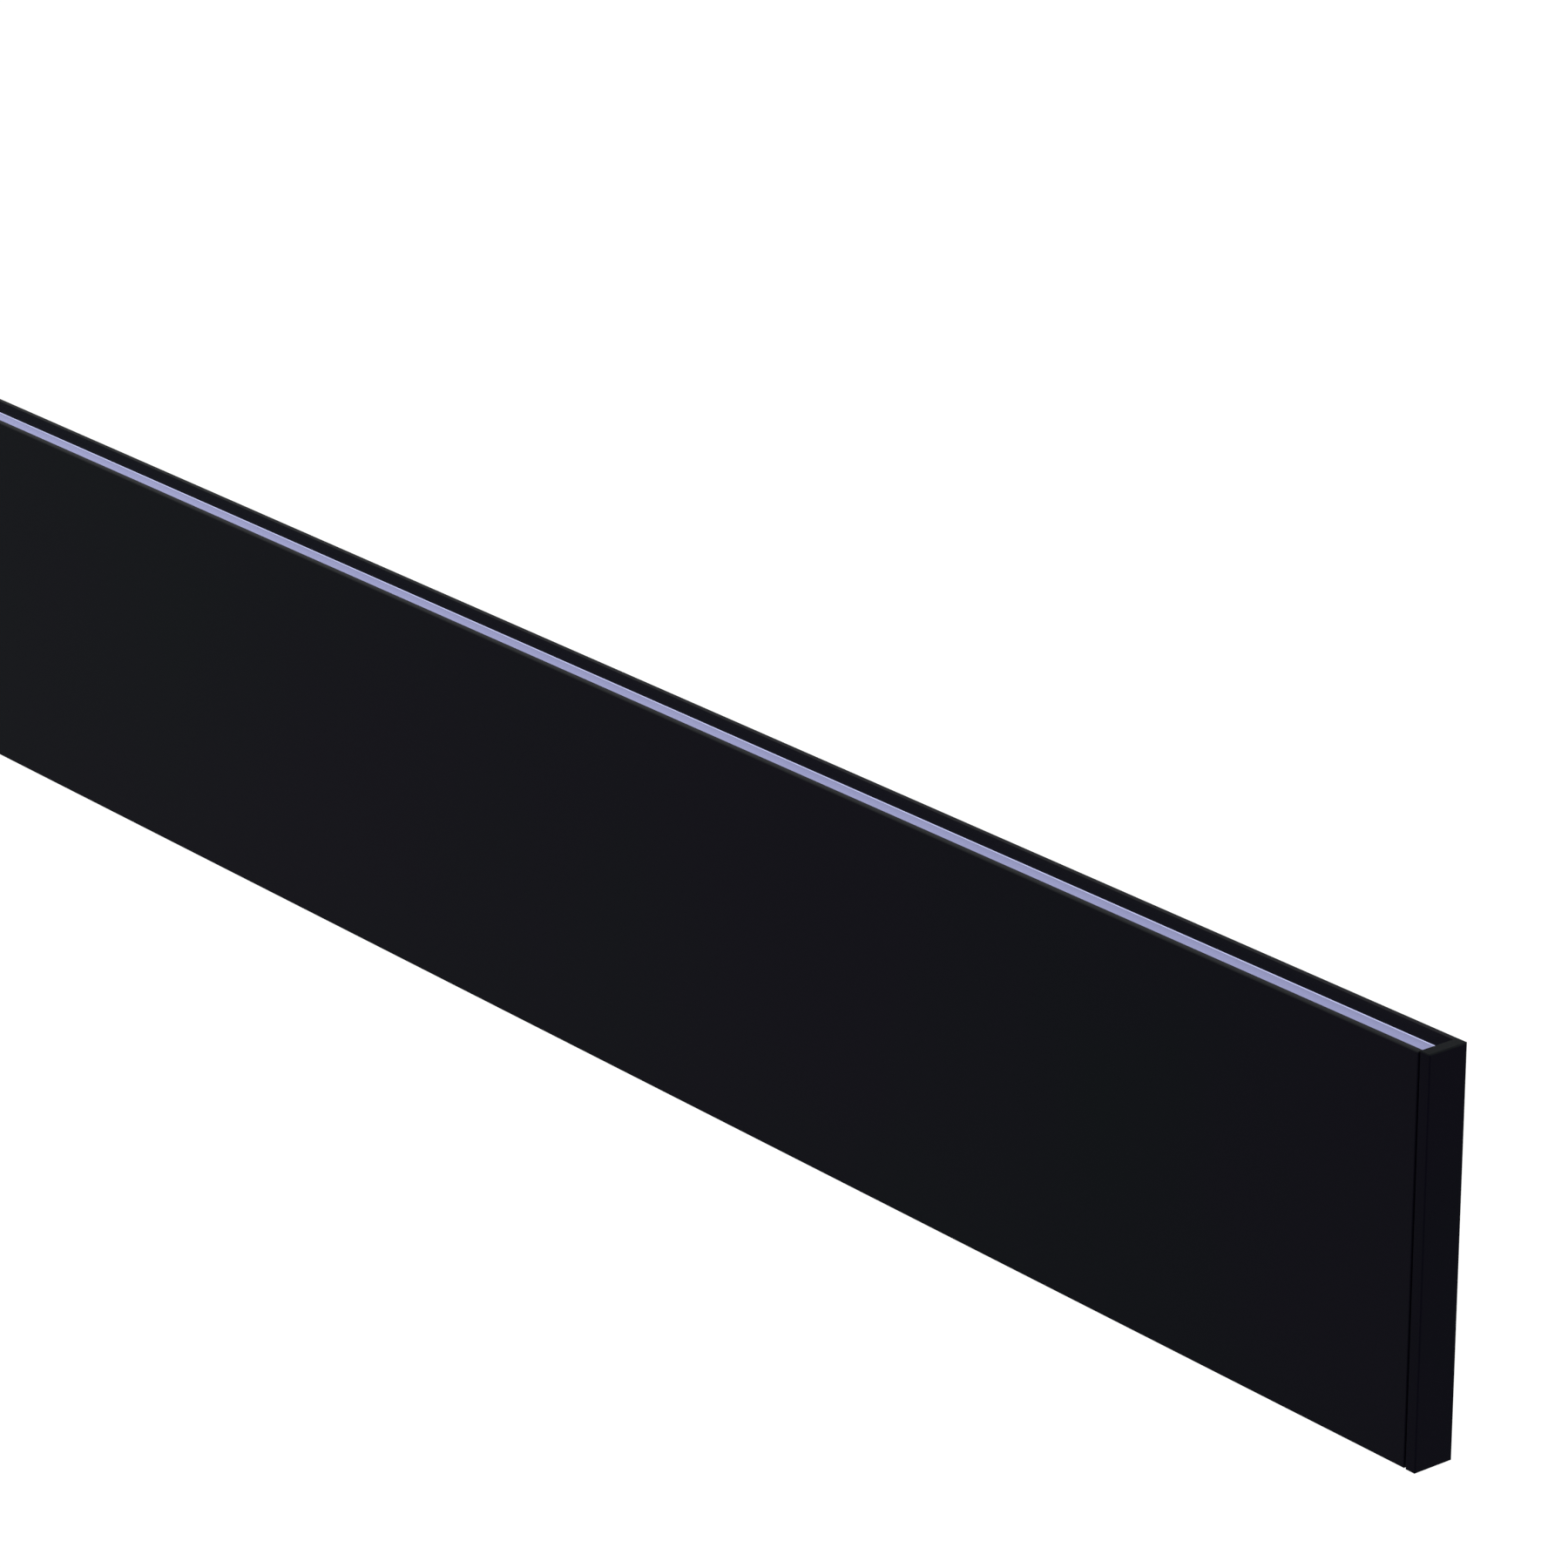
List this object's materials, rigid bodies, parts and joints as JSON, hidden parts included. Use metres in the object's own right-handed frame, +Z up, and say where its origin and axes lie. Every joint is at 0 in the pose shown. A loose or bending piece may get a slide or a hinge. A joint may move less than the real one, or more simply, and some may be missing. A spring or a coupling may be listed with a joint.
{
  "type": "vanity light bar",
  "caption": "Slim flat wall light for above a mirror: a long black bar that shines up and down through sunken opal strips, hung on a wall bracket.",
  "frame": {"origin": "centre of the wall bracket's wire hole, in the rear face that lies on the wall", "axes": "+X along the bar, to the right as seen from the room; +Y into the wall; +Z up"},
  "size_m": [0.9144, 0.0347, 0.1142],
  "materials": {
    "black_aluminium": "matt blue-black powder coat",
    "black_steel": "matt blue-black powder coat",
    "opal": "frosted opal, faint lavender",
    "zinc": "zinc plated",
    "white_board": "white solder mask",
    "phosphor": "yellow phosphor in a white frame",
    "tape": "grey thermal tape",
    "white_plastic": "moulded",
    "case_plastic": "fine texture",
    "green_board": "green solder mask",
    "components": "dark sleeve",
    "red_wire": "insulation",
    "black_wire": "insulation",
    "white_wire": "insulation",
    "green_wire": "insulation",
    "rubber": "moulded",
    "green_screw": "green passivated",
    "nylon": "natural nylon",
    "brass": "nickel free",
    "tin": "tinned"
  },
  "bodies": {
    "bracket": {"wall_bracket": "zinc", "ground_screw": "green_screw"},
    "light": {"back_channel": "black_aluminium", "front_cover": "black_aluminium", "end_cap_left": "black_aluminium", "end_cap_right": "black_aluminium", "end_cap_screws": "black_steel", "upper_diffuser": "opal", "lower_diffuser": "opal", "upper_light_boards": "white_board", "lower_light_boards": "white_board", "upper_board_tape": "tape", "lower_board_tape": "tape", "upper_light_chips": "phosphor", "lower_light_chips": "phosphor", "upper_board_connector": "white_plastic", "lower_board_connector": "white_plastic", "upper_lead_red": "red_wire", "upper_lead_black": "black_wire", "lower_lead_red": "red_wire", "lower_lead_black": "black_wire", "back_box": "black_steel", "back_box_screws": "zinc", "hanger_rail": "zinc", "hanger_rivets": "black_steel", "wire_grommet": "rubber", "lock_nuts": "zinc", "driver_case": "case_plastic", "driver_lid": "case_plastic", "driver_board": "green_board", "driver_components": "components", "driver_screws": "zinc", "terminal_block": "white_plastic", "terminal_screws": "brass", "earth_ring": "tin", "earth_screw": "zinc", "mains_lead_live": "black_wire", "mains_lead_neutral": "white_wire", "earth_lead": "green_wire"},
    "left_lock_washer": {"lock_washer_left": "nylon"},
    "left_lock_screw": {"lock_screw_left": "black_steel"},
    "right_lock_washer": {"lock_washer_right": "nylon"},
    "right_lock_screw": {"lock_screw_right": "black_steel"}
  },
  "joints": [
    {"name": "lift_off", "type": "slide", "parent": "bracket", "child": "light", "axis": [0, 0, 1], "range_m": [0, 0.009]},
    {"name": "left_lock_travel", "type": "slide", "parent": "light", "child": "left_lock_washer", "axis": [-1, 0, 0], "range_m": [0, 0.0021]},
    {"name": "left_lock_turn", "type": "hinge", "parent": "left_lock_washer", "child": "left_lock_screw", "pos_m": [-0.1, -0.008, -0.005], "axis": [-1, 0, 0], "range_deg": [0, 1080]},
    {"name": "right_lock_travel", "type": "slide", "parent": "light", "child": "right_lock_washer", "axis": [1, 0, 0], "range_m": [0, 0.0021]},
    {"name": "right_lock_turn", "type": "hinge", "parent": "right_lock_washer", "child": "right_lock_screw", "pos_m": [0.1, -0.008, -0.005], "axis": [1, 0, 0], "range_deg": [0, 1080]}
  ],
  "couplings": [
    {"joint": "left_lock_turn", "follows": "left_lock_travel", "rad_per_m": 8976},
    {"joint": "right_lock_turn", "follows": "right_lock_travel", "rad_per_m": 8976}
  ]
}
